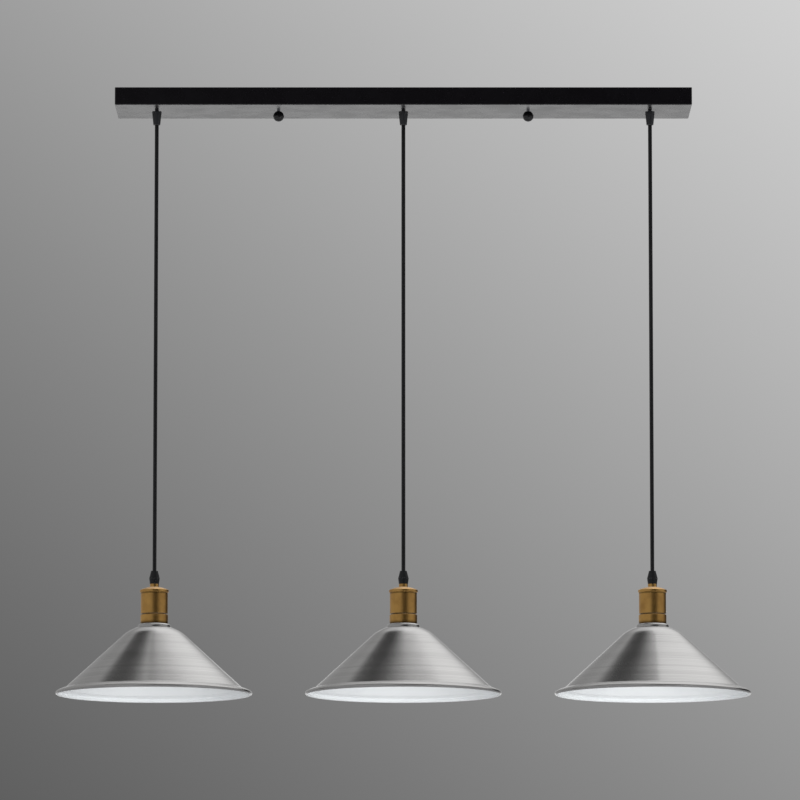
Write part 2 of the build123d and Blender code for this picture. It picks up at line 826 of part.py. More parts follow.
def make_terminal_block():
    """Three-pole block: a base with three rounded towers, wire ways through them and screw wells."""
    block_width = pole_count * pole_pitch
    tower_height = block_height - block_base_height
    with BuildPart() as terminal_block:
        with BuildSketch(Plane.XY.offset(block_floor)):
            with Locations((block_x, block_y)):
                Rectangle(block_length, block_width)
        extrude(amount=block_base_height)
        with BuildSketch(Plane.XY.offset(block_floor + block_base_height)):
            with Locations((block_x, block_y)):
                with GridLocations(0, pole_pitch, 1, pole_count):
                    Rectangle(block_length, pole_width)
        extrude(amount=tower_height)
        fillet(terminal_block.faces().group_by(Axis.Z)[-1].edges(), pole_round)
        with BuildSketch(across_block(block_length)):
            with GridLocations(pole_pitch, 0, pole_count, 1):
                Rectangle(wire_way_width, wire_way_height)
        extrude(amount=block_length, mode=Mode.SUBTRACT)
        with BuildSketch(Plane.XY.offset(block_floor + block_height)):
            with Locations((block_x, block_y)):
                with GridLocations(clamp_screw_spacing, pole_pitch, 2, pole_count):
                    Circle(clamp_screw_radius + sliding_gap)
        extrude(amount=-tower_height / 2, mode=Mode.SUBTRACT)
    terminal_block.part.label = "terminal_block"
    export_step(terminal_block.part, "parts/terminal_block.step")


def make_terminal_pad():
    """Self-adhesive pad that holds the terminal block on the canopy floor."""
    with BuildPart() as terminal_pad:
        with BuildSketch(Plane.XY.offset(canopy_floor)):
            with Locations((block_x, block_y)):
                Rectangle(block_length, pole_count * pole_pitch)
        extrude(amount=block_pad)
    terminal_pad.part.label = "terminal_pad"
    export_step(terminal_pad.part, "parts/terminal_pad.step")


def make_terminal_inserts():
    """Brass bars in the block's wire ways."""
    width = wire_way_width - sliding_gap
    height = wire_way_height - sliding_gap
    with BuildPart() as terminal_inserts:
        with BuildSketch(across_block(insert_length)):
            with GridLocations(pole_pitch, 0, pole_count, 1):
                Rectangle(width, height)
        extrude(amount=insert_length)
    terminal_inserts.part.label = "terminal_inserts"
    export_step(terminal_inserts.part, "parts/terminal_inserts.step")


def make_terminal_screws():
    """Six slotted clamp screws in the block's wells."""
    insert_top = wire_way_centre + (wire_way_height - sliding_gap) / 2
    with BuildPart() as terminal_screws:
        with BuildSketch(Plane.XY.offset(insert_top)):
            with Locations((block_x, block_y)):
                with GridLocations(clamp_screw_spacing, pole_pitch, 2, pole_count):
                    Circle(clamp_screw_radius)
        extrude(amount=clamp_screw_height)
        with BuildSketch(Plane.XY.offset(insert_top + clamp_screw_height)):
            with Locations((block_x, block_y)):
                with GridLocations(clamp_screw_spacing, pole_pitch, 2, pole_count):
                    Rectangle(2 * clamp_screw_radius, clamp_slot)
        extrude(amount=-clamp_slot, mode=Mode.SUBTRACT)
    terminal_screws.part.label = "terminal_screws"
    export_step(terminal_screws.part, "parts/terminal_screws.step")


def make_earth_post():
    """Post on the canopy floor, with the hexagon nut that clamps the earth tag."""
    with BuildPart() as earth_post:
        with BuildSketch(Plane.XY.offset(canopy_floor)):
            with Locations((earth_x, earth_y)):
                Circle(earth_post_radius)
        extrude(amount=earth_post_height)
        with BuildSketch(Plane.XY.offset(canopy_floor + earth_tag_thickness + 2 * core_radius)):
            with Locations((earth_x, earth_y)):
                RegularPolygon(hex_nut_flats / 2, 6, major_radius=False)
        extrude(amount=hex_nut_height)
    earth_post.part.label = "earth_post"
    export_step(earth_post.part, "parts/earth_post.step")


def make_earth_lead():
    """Lead from the block's first pole to a ring tag on the earth post."""
    pole_y = block_y - (pole_count - 1) / 2 * pole_pitch
    face_x = block_x - block_length / 2
    way_z = wire_way_centre - earth_lead_drop
    tag_top = canopy_floor + earth_tag_thickness
    with BuildPart() as earth_lead:
        with BuildLine():
            route = FilletPolyline(
                (face_x + wire_into_block, pole_y, way_z),
                (face_x - core_fan, pole_y, way_z),
                (earth_x + 2 * earth_tag_radius, earth_y + earth_tag_radius / 2, tag_top + core_radius / 2),
                (earth_x + earth_tag_radius / 2 + earth_post_radius, earth_y, tag_top + core_radius / 2),
                radius=core_bend,
            )
        with BuildSketch(Plane(route @ 0, z_dir=route % 0)):
            Circle(core_radius)
        sweep(path=route)
        with BuildSketch(Plane.XY.offset(canopy_floor)):
            with Locations((earth_x, earth_y)):
                Circle(earth_tag_radius)
                Circle(earth_post_radius + sliding_gap, mode=Mode.SUBTRACT)
        extrude(amount=earth_tag_thickness)
    earth_lead.part.label = "earth_lead"
    export_step(earth_lead.part, "parts/earth_lead.step")


make_canopy_tray()
make_ceiling_bracket()
make_bracket_studs()
make_stud_locknuts()
make_ball_nut("left", -stud_spacing / 2)
make_ball_nut("right", stud_spacing / 2)
make_grip_locknuts()
make_tail_cores()
make_terminal_block()
make_terminal_pad()
make_terminal_inserts()
make_terminal_screws()
make_earth_post()
make_earth_lead()
for pendant_name, pendant_x in pendant_places.items():
    make_canopy_grip_body(pendant_name, pendant_x)
    make_canopy_grip_nut(pendant_name, pendant_x)
    make_holder_grip_nut(pendant_name, pendant_x)
    make_holder_grip_body(pendant_name, pendant_x)
    make_cord(pendant_name, pendant_x)
    make_holder_cap(pendant_name, pendant_x)
    make_holder_shell(pendant_name, pendant_x)
    make_holder_skirt(pendant_name, pendant_x)
    make_socket_core(pendant_name, pendant_x)
    make_screw_shell(pendant_name, pendant_x)
    make_socket_contacts(pendant_name, pendant_x)
    make_holder_leads(pendant_name, pendant_x)
    make_cord_tail(pendant_name, pendant_x)
    make_shade(pendant_name, pendant_x)
    make_shade_ring(pendant_name, pendant_x)
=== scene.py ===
"""Linear island pendant with three spun shades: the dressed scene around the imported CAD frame.

All lengths are metres in the frame of the CAD: the ceiling is the plane Z = 0, X runs along the bar
canopy, and the pendants hang down, so heights are negative. Sizes that come from a drawing are given
in millimetres and pass through mm().
"""

import json
import logging
import math
from dataclasses import dataclass, replace
from enum import Enum
from typing import ClassVar

import bpy
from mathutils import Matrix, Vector

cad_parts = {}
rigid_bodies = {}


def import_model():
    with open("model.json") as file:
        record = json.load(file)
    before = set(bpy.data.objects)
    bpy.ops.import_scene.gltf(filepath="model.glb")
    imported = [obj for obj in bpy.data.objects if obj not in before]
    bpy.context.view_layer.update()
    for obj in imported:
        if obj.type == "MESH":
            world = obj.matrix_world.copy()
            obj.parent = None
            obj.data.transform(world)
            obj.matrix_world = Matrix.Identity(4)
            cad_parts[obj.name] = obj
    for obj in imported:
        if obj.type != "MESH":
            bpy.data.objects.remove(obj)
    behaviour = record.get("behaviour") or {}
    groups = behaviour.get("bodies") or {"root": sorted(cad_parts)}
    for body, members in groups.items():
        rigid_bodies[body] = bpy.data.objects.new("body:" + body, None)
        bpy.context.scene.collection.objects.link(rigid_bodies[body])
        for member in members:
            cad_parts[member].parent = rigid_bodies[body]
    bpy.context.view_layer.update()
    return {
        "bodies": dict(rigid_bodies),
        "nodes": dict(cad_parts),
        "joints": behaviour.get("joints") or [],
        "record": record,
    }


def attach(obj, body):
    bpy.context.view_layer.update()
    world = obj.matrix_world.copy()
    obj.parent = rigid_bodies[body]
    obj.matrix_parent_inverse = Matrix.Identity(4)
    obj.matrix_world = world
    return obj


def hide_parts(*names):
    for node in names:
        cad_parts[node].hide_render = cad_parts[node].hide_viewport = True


log = logging.getLogger("island_pendant")

Point = tuple[float, float, float]
ProfilePoint = tuple[float, float]
Node = bpy.types.Node
Socket = bpy.types.NodeSocket
Tree = bpy.types.NodeTree
Object = bpy.types.Object
Material = bpy.types.Material
Colour = tuple[float, float, float, float]

PENDANTS: dict[str, float] = {"left": -0.330, "middle": 0.0, "right": 0.330}

# Common to all finishes: the dark brown of the painted shade and patina in hollows, a clear coat's
# roughness, the ranges of a noise that count for patches and for roughness, and how far the roughness
# goes below and above its mean.
PAINTED_SHADE_AND_PATINA = "#1E130A"
COAT_ROUGHNESS = 0.06
PATCH_NOISE = (0.35, 0.7)
ROUGH_NOISE = (0.3, 0.75)
ROUGH_SHARES = (0.95, 1.1)


def mm(length: float) -> float:
    """Millimetres in metres."""
    return length / 1000.0


def linear(hex_colour: str) -> Colour:
    """An sRGB hex colour as linear RGBA.

    Args:
        hex_colour: six hex digits with a leading hash.

    Returns:
        Linear red, green and blue, and an alpha of one.
    """
    parts = [int(hex_colour[i : i + 2], 16) / 255 for i in (1, 3, 5)]
    red, green, blue = (p / 12.92 if p <= 0.04045 else ((p + 0.055) / 1.055) ** 2.4 for p in parts)
    return red, green, blue, 1.0


def add_node(tree: Tree, kind: str, settings: dict | None = None, inputs: dict | None = None) -> Node:
    """Adds one node with its settings, values and links.

    Args:
        tree: the node tree that takes it.
        kind: the node's type name.
        settings: properties of the node by name.
        inputs: a value or a socket to link, by the input's name or number.

    Returns:
        The new node.
    """
    node = tree.nodes.new(kind)
    for name, value in (settings or {}).items():
        setattr(node, name, value)
    for key, value in (inputs or {}).items():
        socket = node.inputs[key]
        if isinstance(value, bpy.types.NodeSocket):
            tree.links.new(value, socket)
        else:
            socket.default_value = value
    return node


def calculate(tree: Tree, operation: str, *values: float | Socket) -> Socket:
    """The result of one Math node on one to three values or sockets."""
    node = add_node(tree, "ShaderNodeMath", {"operation": operation}, dict(enumerate(values)))
    return node.outputs[0]


def blend_colours(
    tree: Tree, share: float | Socket, first: Socket | Colour, second: Socket | Colour
) -> Socket:
    """The colour that lies share of the way from the first to the second."""
    settings = {"data_type": "RGBA"}
    node = add_node(tree, "ShaderNodeMix", settings, {0: share, 6: first, 7: second})
    return node.outputs[2]


def spread(tree: Tree, value: Socket, low: float, high: float, to_low: float, to_high: float) -> Socket:
    """Maps a value from one range to another, held at its ends and eased between them."""
    inputs = {"Value": value, "From Min": low, "From Max": high, "To Min": to_low, "To Max": to_high}
    node = add_node(tree, "ShaderNodeMapRange", {"interpolation_type": "SMOOTHSTEP"}, inputs)
    return node.outputs["Result"]


def axis_of(tree: Tree, place: Socket, axis: str) -> Socket:
    """One coordinate of a point or of a direction."""
    return add_node(tree, "ShaderNodeSeparateXYZ", None, {0: place}).outputs[axis]


def waves(length_mm: float) -> float:
    """A noise's scale, in waves a metre, from the length of one wave."""
    return 1000.0 / length_mm


def cloud_noise(
    tree: Tree, place: Socket, length_mm: float, detail: float, roughness: float = 0.5
) -> Socket:
    """The value of a noise over the piece, with waves of that length."""
    inputs = {"Vector": place, "Scale": waves(length_mm), "Detail": detail, "Roughness": roughness}
    return add_node(tree, "ShaderNodeTexNoise", None, inputs).outputs["Fac"]


def line_noise(
    tree: Tree, across: Socket, pitch_mm: float, detail: float, roughness: float = 0.5
) -> Socket:
    """The value of a noise that is constant along a tool's lines and changes across them."""
    inputs = {"W": across, "Scale": waves(pitch_mm), "Detail": detail, "Roughness": roughness}
    return add_node(tree, "ShaderNodeTexNoise", {"noise_dimensions": "1D"}, inputs).outputs["Fac"]


def raised(tree: Tree, height: Socket) -> Socket:
    """The normal of a surface that is raised by a height in metres."""
    inputs = {"Height": height, "Strength": 1.0, "Distance": 1.0}
    return add_node(tree, "ShaderNodeBump", None, inputs).outputs["Normal"]


def new_material(name: str) -> tuple[Material, Tree, Node]:
    """A new material, its node tree and its Principled shader."""
    made = bpy.data.materials.new(name)
    made.use_nodes = True
    return made, made.node_tree, made.node_tree.nodes["Principled BSDF"]


class Turned(Enum):
    """Which way the marks of a tool run on a finish."""

    NONE = "none"
    AROUND = "around the piece's upright axis"
    ALONG = "along X"


@dataclass(frozen=True)
class Finish:
    """A surface: what it is made of, and how it was made.

    Attributes:
        name: the material's name, for what it is.
        colour: sRGB hex of the clean surface.
        shade: sRGB hex of its darker or worn places.
        roughness: mean roughness.
        metallic: one for bare metal, zero for the rest.
        coat: weight of a clear coat over it.
        grain_mm: length of the surface's unevenness.
        grain_depth_mm: height of that unevenness.
        patch_mm: length of its cloudy changes of colour.
        patch_share: how far those patches go towards shade.
        tool_pitch_mm: pitch of the turning or drawing lines, or zero.
        tool_depth_mm: depth of those lines.
        turned: which way the lines run.
        shaded_hollows_mm: bands round the piece painted dark as shade, with patina: height, reach up and
            down,
        and the share of the metal that the painted shade hides in the middle.
    """

    name: str
    colour: str
    shade: str
    roughness: float
    metallic: float = 0.0
    coat: float = 0.0
    grain_mm: float = 1.0
    grain_depth_mm: float = 0.01
    patch_mm: float = 30.0
    patch_share: float = 0.4
    tool_pitch_mm: float = 0.0
    tool_depth_mm: float = 0.0
    turned: Turned = Turned.NONE
    shaded_hollows_mm: tuple[tuple[float, float, float], ...] = ()

    def material(self) -> Material:
        """Builds the finish's material from its attributes.

        Returns:
            The new material, with its colour, roughness and bump from nodes.
        """
        made, tree, shader = new_material(self.name)
        place = add_node(tree, "ShaderNodeTexCoord").outputs["Object"]
        cloud = cloud_noise(tree, place, self.patch_mm, 4.0, 0.55)
        grain = cloud_noise(tree, place, self.grain_mm, 3.0, 0.55)
        patches = spread(tree, cloud, *PATCH_NOISE, 0.0, self.patch_share)
        colour = blend_colours(tree, patches, linear(self.colour), linear(self.shade))
        # Painted shade: each band is blended towards the dark colour, standing in for the shade in it.
        for hollow in self.shaded_hollows_mm:
            colour = blend_colours(tree, self.painted_shade_share(tree, place, *hollow), colour, linear(PAINTED_SHADE_AND_PATINA))
        height = calculate(tree, "MULTIPLY", grain, mm(self.grain_depth_mm))
        if self.tool_pitch_mm:
            lines = self.tool_lines(tree, place)
            height = calculate(tree, "MULTIPLY_ADD", lines, mm(self.tool_depth_mm), height)
        low, high = (self.roughness * share for share in ROUGH_SHARES)
        rough = spread(tree, cloud, *ROUGH_NOISE, low, high)
        tree.links.new(colour, shader.inputs["Base Color"])
        tree.links.new(rough, shader.inputs["Roughness"])
        tree.links.new(raised(tree, height), shader.inputs["Normal"])
        shader.inputs["Metallic"].default_value = self.metallic
        shader.inputs["Coat Weight"].default_value = self.coat
        shader.inputs["Coat Roughness"].default_value = COAT_ROUGHNESS
        return made

    def painted_shade_share(
        self, tree: Tree, place: Socket, height_mm: float, reach_mm: float, most: float
    ) -> Socket:
        """How much painted shade and patina lie at a point, from none to the most mid-groove."""
        above = calculate(tree, "SUBTRACT", axis_of(tree, place, "Z"), mm(height_mm))
        return spread(tree, calculate(tree, "ABSOLUTE", above), 0.0, mm(reach_mm), most, 0.0)

    def tool_lines(self, tree: Tree, place: Socket) -> Socket:
        """Uneven fine lines that a lathe tool or a die leaves.

        Args:
            tree: the material's tree.
            place: the point on the piece.

        Returns:
            A socket from zero to one, constant along each line.
        """
        across = "Z" if self.turned is Turned.AROUND else "Y"
        return line_noise(tree, axis_of(tree, place, across), self.tool_pitch_mm, 3.0, 0.7)


# Sprayed and baked black lacquer on steel: nearly black, mirror-like at a low angle, with the slight
# orange peel of a sprayed coat (real waves of 1 to 3 mm) and faint rolling lines along the sheet.
CANOPY_LACQUER = Finish(
    name="black_lacquered_steel",
    colour="#070509",
    shade="#09070C",
    roughness=0.27,
    grain_mm=2.6,
    grain_depth_mm=0.0015,
    tool_pitch_mm=5.0,
    tool_depth_mm=0.004,
    turned=Turned.ALONG,
)
# Polished black lacquer on turned brass: a clear mirror gloss with hardly any unevenness.
BALL_LACQUER = Finish(
    name="polished_black_lacquer",
    colour="#070708",
    shade="#0C0C0E",
    roughness=0.07,
    coat=0.6,
    grain_mm=3.0,
    grain_depth_mm=0.002,
)
# Glass-filled nylon, moulded: dark blue-black with a fine eroded mould texture (real 0.1 mm, drawn at
# 0.6 mm to show) that spreads its highlights.
GRIP_NYLON = Finish(
    name="moulded_black_nylon",
    colour="#04060A",
    shade="#030407",
    roughness=0.38,
    grain_mm=0.6,
    grain_depth_mm=0.02,
    patch_mm=12.0,
)
# The same nylon painted lighter, a dark grey, as painted light from the floor on the canopy's grips.
FLOOR_LIT_GRIP_NYLON = replace(GRIP_NYLON, name="dusty_black_nylon", colour="#26272A", shade="#1C1D20")
# Extruded soft PVC cord sheath: black, a low sheen, with a slight waviness.
CORD_PVC = Finish(
    name="extruded_black_pvc",
    colour="#0B0B0D",
    shade="#131316",
    roughness=0.36,
    grain_mm=4.0,
    grain_depth_mm=0.03,
    patch_mm=18.0,
)
# Turned brass with an antique patina, yellower where fingers keep it bright, with fine lathe lines round
# it (real feed 0.15 mm, drawn at 0.9 mm to show). Dark brown bands are painted under the flange and in
# the groove as their shade and patina, and at the foot of the band as a painted dark reflection.
ANTIQUE_BRASS = Finish(
    name="antique_turned_brass",
    colour="#E0B066",
    shade="#BC8D50",
    roughness=0.33,
    metallic=1.0,
    grain_mm=2.5,
    grain_depth_mm=0.0006,
    patch_mm=16.0,
    patch_share=0.6,
    tool_pitch_mm=0.9,
    tool_depth_mm=0.001,
    turned=Turned.AROUND,
    # Painted shade bands: height, reach up and down, and darkness of each.
    shaded_hollows_mm=((-671.3, 1.4, 0.55), (-699.1, 1.5, 0.97), (-712.2, 5.5, 0.85)),
)
# Drawn bright brass of the electrical parts: clean yellow metal with drawing lines.
BRIGHT_BRASS = Finish(
    name="drawn_bright_brass",
    colour="#D0A657",
    shade="#B18436",
    roughness=0.22,
    metallic=1.0,
    grain_mm=1.0,
    grain_depth_mm=0.004,
    patch_mm=6.0,
    tool_pitch_mm=0.8,
    tool_depth_mm=0.004,
    turned=Turned.AROUND,
)
# Glazed steatite porcelain: warm white, glassy, with a soft unevenness under the glaze.
STEATITE = Finish(
    name="glazed_steatite_porcelain",
    colour="#E9E5DA",
    shade="#D8D2C3",
    roughness=0.17,
    coat=0.5,
    grain_mm=2.2,
    grain_depth_mm=0.02,
    patch_mm=10.0,
)
# Blue-passivated zinc plating on pressed steel: cool grey metal, cloudy in patches.
ZINC = Finish(
    name="zinc_plated_steel",
    colour="#BFC3C8",
    shade="#8D9298",
    roughness=0.32,
    metallic=1.0,
    grain_mm=1.4,
    grain_depth_mm=0.008,
    patch_mm=8.0,
    patch_share=0.7,
    tool_pitch_mm=1.2,
    tool_depth_mm=0.006,
    turned=Turned.ALONG,
)
# Natural polyamide of the terminal block: creamy white and slightly waxy.
POLYAMIDE = Finish(
    name="natural_polyamide",
    colour="#E7E2D3",
    shade="#D9D2BE",
    roughness=0.4,
    grain_mm=0.8,
    grain_depth_mm=0.015,
    patch_mm=14.0,
)
# Open-cell foam of the adhesive pad: dark grey and dull, its cells drawn at 0.7 mm.
FOAM = Finish(
    name="grey_adhesive_foam",
    colour="#3A3B3D",
    shade="#242526",
    roughness=0.9,
    grain_mm=0.7,
    grain_depth_mm=0.12,
    patch_mm=3.0,
)
# Silicone insulation of the holder's and the tails' cores: white, soft and slightly glossy.
CORE_SILICONE = Finish(
    name="white_silicone_insulation",
    colour="#D9D5CC",
    shade="#C2BDB2",
    roughness=0.38,
    grain_mm=1.2,
    grain_depth_mm=0.01,
    patch_mm=8.0,
)
# PVC insulation of the earth lead, green with yellow worked in as cloudy stripes.
EARTH_PVC = Finish(
    name="green_yellow_pvc",
    colour="#2E7D3A",
    shade="#D9C52C",
    roughness=0.35,
    grain_mm=1.0,
    grain_depth_mm=0.01,
    patch_mm=3.5,
    patch_share=1.0,
)


@dataclass(frozen=True)
class SpunMetal:
    """Brushed spun aluminium of the shade's outside.

    Spinning and brushing leave circles round the shade, so its highlights are drawn out along the
    slope. The real lines are about 0.2 mm apart; they are drawn at 1.5 mm, because closer ones fall
    inside one pixel.

    Attributes:
        name: the material's name.
        bright: sRGB hex of the lines' bright sides.
        dull: sRGB hex of their dull sides.
        roughness: roughness in the middle of the clouds' range, before the lines add to it.
        line_pitch_mm: pitch of the lines.
        line_depth_mm: depth of the lines.
        line_share: how much of the tone comes from the lines, and the rest from the bands.
        band_pitch_mm: pitch of the broader bands that the spinning roller leaves.
        cloud_mm: length of the cloudy changes of roughness.
        tone_noise: the range of the noise that goes from dull to bright.
        cloud_roughness: how much the clouds change the roughness.
        line_roughness: how much the lines add to it.
        anisotropy: how far the highlights are drawn out.
        grain_turn: the way they are drawn out, in turns from the circles.
    """

    name: str = "spun_brushed_aluminium"
    bright: str = "#CDCCCB"
    dull: str = "#B9B8B7"
    roughness: float = 0.22
    line_pitch_mm: float = 1.5
    line_depth_mm: float = 0.0025
    line_share: float = 0.6
    band_pitch_mm: float = 14.0
    cloud_mm: float = 45.0
    tone_noise: tuple[float, float] = (0.3, 0.7)
    cloud_roughness: float = 0.06
    line_roughness: float = 0.04
    anisotropy: float = 0.7
    grain_turn: float = 0.25

    def material(self) -> Material:
        """Builds the material; its lines follow V of the UV map, in metres along the profile.

        Returns:
            The new material.
        """
        made, tree, shader = new_material(self.name)
        profile = add_node(tree, "ShaderNodeUVMap", {"uv_map": "profile"}).outputs["UV"]
        along = axis_of(tree, profile, "Y")
        place = add_node(tree, "ShaderNodeTexCoord").outputs["Object"]
        lines = line_noise(tree, along, self.line_pitch_mm, 4.0)
        bands = line_noise(tree, along, self.band_pitch_mm, 2.0)
        cloud = cloud_noise(tree, place, self.cloud_mm, 3.0)
        share = calculate(tree, "MULTIPLY", bands, 1 - self.line_share)
        share = calculate(tree, "MULTIPLY_ADD", lines, self.line_share, share)
        toned = spread(tree, share, *self.tone_noise, 0.0, 1.0)
        colour = blend_colours(tree, toned, linear(self.dull), linear(self.bright))
        least = self.roughness - self.cloud_roughness / 2
        rough = calculate(tree, "MULTIPLY_ADD", cloud, self.cloud_roughness, least)
        rough = calculate(tree, "MULTIPLY_ADD", lines, self.line_roughness, rough)
        height = calculate(tree, "MULTIPLY", lines, mm(self.line_depth_mm))
        settings = {"direction_type": "UV_MAP", "uv_map": "profile"}
        grain = add_node(tree, "ShaderNodeTangent", settings)
        tree.links.new(colour, shader.inputs["Base Color"])
        tree.links.new(rough, shader.inputs["Roughness"])
        tree.links.new(raised(tree, height), shader.inputs["Normal"])
        tree.links.new(grain.outputs["Tangent"], shader.inputs["Tangent"])
        shader.inputs["Metallic"].default_value = 1.0
        shader.inputs["Anisotropic"].default_value = self.anisotropy
        shader.inputs["Anisotropic Rotation"].default_value = self.grain_turn
        return made


SPUN_METAL = SpunMetal()
# White stoving enamel inside the shade: even, eggshell, with a fine orange peel.
SHADE_ENAMEL = Finish(
    name="white_stoving_enamel",
    colour="#F2F5F6",
    shade="#EBEEF0",
    roughness=0.38,
    grain_mm=2.0,
    grain_depth_mm=0.008,
    patch_mm=40.0,
)


def link(made: Object) -> Object:
    """Puts an object in the scene and returns it."""
    bpy.context.scene.collection.objects.link(made)
    return made


def smooth(made: Object, angle: float = 35.0) -> None:
    """Shades a piece smooth, with edges sharper than the angle in degrees kept sharp."""
    for polygon in made.data.polygons:
        polygon.use_smooth = True
    made.data.set_sharp_from_angle(angle=math.radians(angle))


def from_tree(name: str, tree: Tree, values: dict[str, float], materials: list[Material]) -> Object:
    """Runs a Geometry Nodes tree and keeps its result as a plain mesh.

    Args:
        name: the piece's name.
        tree: the tree, whose named inputs take the values.
        values: the sizes by the tree's input names.
        materials: the materials that the result's slots get.

    Returns:
        A linked object at the origin with the plain mesh.
    """
    carrier = link(bpy.data.objects.new(f"{name}_carrier", bpy.data.meshes.new(f"{name}_carrier")))
    modifier = carrier.modifiers.new("maker", "NODES")
    modifier.node_group = tree
    for item in tree.interface.items_tree:
        if item.item_type == "SOCKET" and item.in_out == "INPUT" and item.name in values:
            modifier[item.identifier] = values[item.name]
    bpy.context.view_layer.update()
    graph = bpy.context.evaluated_depsgraph_get()
    mesh = bpy.data.meshes.new_from_object(carrier.evaluated_get(graph), depsgraph=graph)
    carrier.modifiers.remove(modifier)
    bpy.data.objects.remove(carrier)
    mesh.name = name
    mesh.materials.clear()
    for material in materials:
        mesh.materials.append(material)
    return link(bpy.data.objects.new(name, mesh))


def new_tree(name: str, sizes: dict[str, float]) -> tuple[Tree, Node, Node]:
    """A Geometry Nodes tree with a geometry output and one named float input for each size.

    Args:
        name: the tree's name.
        sizes: the inputs' names and default values.

    Returns:
        The tree, its input node and its output node.
    """
    tree = bpy.data.node_groups.new(name, "GeometryNodeTree")
    tree.interface.new_socket("Geometry", in_out="OUTPUT", socket_type="NodeSocketGeometry")
    for size, value in sizes.items():
        socket = tree.interface.new_socket(size, in_out="INPUT", socket_type="NodeSocketFloat")
        socket.default_value = value
    return tree, add_node(tree, "NodeGroupInput"), add_node(tree, "NodeGroupOutput")


def finish_tree(tree: Tree, result: Socket, out: Node, material: Material) -> None:
    """Ends a tree in Realize Instances and Set Material."""
    real = add_node(tree, "GeometryNodeRealizeInstances", None, {0: result})
    inputs = {"Geometry": real.outputs[0], "Material": material}
    dressed = add_node(tree, "GeometryNodeSetMaterial", None, inputs)
    tree.links.new(dressed.outputs[0], out.inputs[0])


@dataclass
class Paint:
    """The materials of the whole pendant, each built once.

    Attributes:
        made: the materials by their finishes' names.
    """

    made: dict[str, Material]

    @classmethod
    def mix(cls) -> "Paint":
        """Builds every material."""
        finishes = (
            CANOPY_LACQUER,
            BALL_LACQUER,
            GRIP_NYLON,
            FLOOR_LIT_GRIP_NYLON,
            CORD_PVC,
            ANTIQUE_BRASS,
            BRIGHT_BRASS,
            STEATITE,
            ZINC,
            POLYAMIDE,
            FOAM,
            CORE_SILICONE,
            EARTH_PVC,
            SHADE_ENAMEL,
            SPUN_METAL,
        )
        return cls({finish.name: finish.material() for finish in finishes})

    def of(self, finish: Finish | SpunMetal) -> Material:
        """The material of one finish."""
        return self.made[finish.name]


def dress(frame: dict, node: str, material: Material, mirrored: bool = True) -> None:
    """Gives a CAD node's object its material.

    Args:
        node: the CAD node's name.
        material: the material that all its faces get.
        mirrored: whether shiny pieces beside it show its mirror image.
    """
    piece = frame["nodes"][node]
    piece.visible_glossy = mirrored
    piece.data.materials.clear()
    piece.data.materials.append(material)
    log.info("%s keeps its CAD shape, in %s", node, material.name)


@dataclass
class Cord:
    """One hanging cord between its canopy grip and its holder grip.

    Attributes:
        name: which pendant it carries.
        x: the pendant's place along the bar.
        top: height of the cord's upper end.
        bottom: height of its lower end.
        radius: the sheath's radius.
        bevel: how finely its round section is drawn.
    """

    name: str
    x: float
    top: float = -0.0368
    bottom: float = -0.6460
    radius: float = 0.0026
    bevel: int = 7

    def build(self, paint: Paint) -> Object:
        """Args:
            paint: the materials.

        Returns:
            The cord's curve object.
        """
        data = bpy.data.curves.new(f"hanging_cord_{self.name}", "CURVE")
        data.dimensions = "3D"
        spline = data.splines.new("NURBS")
        heights = (self.top, (self.top + self.bottom) / 2, self.bottom)
        spline.points.add(len(heights) - 1)
        for point, height in zip(spline.points, heights):
            point.co = (self.x, 0.0, height, 1.0)
        spline.order_u = 3
        spline.use_endpoint_u = True
        data.bevel_depth = self.radius
        data.bevel_resolution = self.bevel
        data.use_fill_caps = True
        data.materials.append(paint.of(CORD_PVC))
        cord = link(bpy.data.objects.new(f"hanging_cord_{self.name}", data))
        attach(cord, f"cord_{self.name}")
        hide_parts(f"cord_{self.name}")
        log.info("hanging_cord_%s: %.1f mm long", self.name, 1000 * (self.top - self.bottom))
        return cord


